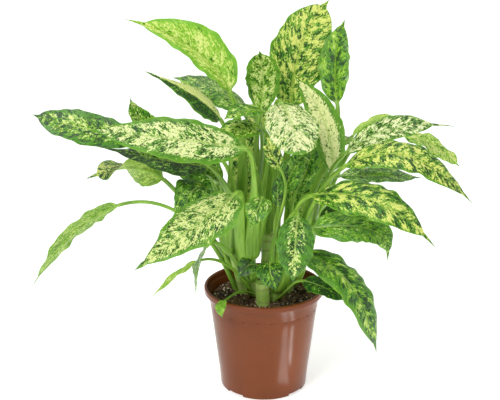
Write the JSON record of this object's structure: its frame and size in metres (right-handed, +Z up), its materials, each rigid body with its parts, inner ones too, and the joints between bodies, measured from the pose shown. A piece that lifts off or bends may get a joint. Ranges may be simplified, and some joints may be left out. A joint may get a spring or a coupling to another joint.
{
  "type": "potted dieffenbachia",
  "caption": "Potted dieffenbachia: a bushy crown of broad, pointed, cream-speckled leaves on arching stalks over short canes in a round nursery pot.",
  "frame": {"origin": "middle of the pot's foot, on the surface that it stands on", "axes": "+Z up along the pot's axis, -Y towards the front of the plant, +X to its right-hand side"},
  "size_m": [0.4171, 0.2862, 0.3844],
  "materials": {
    "pot": "thin glossy moulded plastic, reddish brown",
    "soil": "loose dark granular potting soil with pale specks",
    "stem": "smooth fleshy green stem with faint rings",
    "leaf": "smooth slightly glossy leaf, green with lime and cream blotches, paler underneath"
  },
  "bodies": {
    "root": {"pot": "pot", "soil": "soil", "cane_left": "stem", "cane_front_left": "stem", "cane_left_back": "stem", "cane_back": "stem", "cane_right_back": "stem", "cane_right": "stem", "cane_front_right": "stem", "cut_stub": "stem", "leaf_top_tall": "leaf", "leaf_top_right": "leaf", "leaf_top_middle": "leaf", "leaf_left_arching": "leaf", "leaf_left_cream_upper": "leaf", "leaf_left_dark_upper": "leaf", "leaf_left_long_cream": "leaf", "leaf_left_reaching": "leaf", "leaf_left_behind_cream": "leaf", "leaf_left_dark": "leaf", "leaf_left_curled": "leaf", "leaf_left_hanging": "leaf", "leaf_front_left_broad": "leaf", "leaf_front_left_narrow": "leaf", "leaf_low_left_lime": "leaf", "leaf_rim_tiny": "leaf", "leaf_centre_round": "leaf", "leaf_centre_twisted": "leaf", "leaf_centre_cream": "leaf", "leaf_right_long": "leaf", "leaf_right_rolled": "leaf", "leaf_right_wavy": "leaf", "leaf_right_broad": "leaf", "leaf_right_narrow": "leaf", "leaf_front_right_broad": "leaf", "leaf_right_shaded": "leaf", "leaf_front_right_curled": "leaf", "leaf_front_hanging": "leaf", "leaf_low_right_broad": "leaf", "leaf_low_right_small": "leaf", "leaf_low_centre_dark": "leaf", "leaf_low_centre_heart": "leaf", "leaf_front_middle_small": "leaf", "leaf_centre_left_dark": "leaf", "leaf_centre_left_speckled": "leaf", "leaf_left_folded": "leaf", "leaf_left_shaded": "leaf", "leaf_centre_dark": "leaf", "leaf_centre_lime_rib": "leaf", "leaf_centre_narrow": "leaf", "leaf_centre_rolled": "leaf", "leaf_inner_left": "leaf", "leaf_inner_far_left": "leaf", "leaf_inner_right": "leaf", "leaf_back_middle": "leaf", "leaf_back_left": "leaf", "leaf_back_right": "leaf", "leaf_back_low_left": "leaf", "leaf_back_low_right": "leaf", "leaf_back_low_middle": "leaf"}
  },
  "joints": []
}
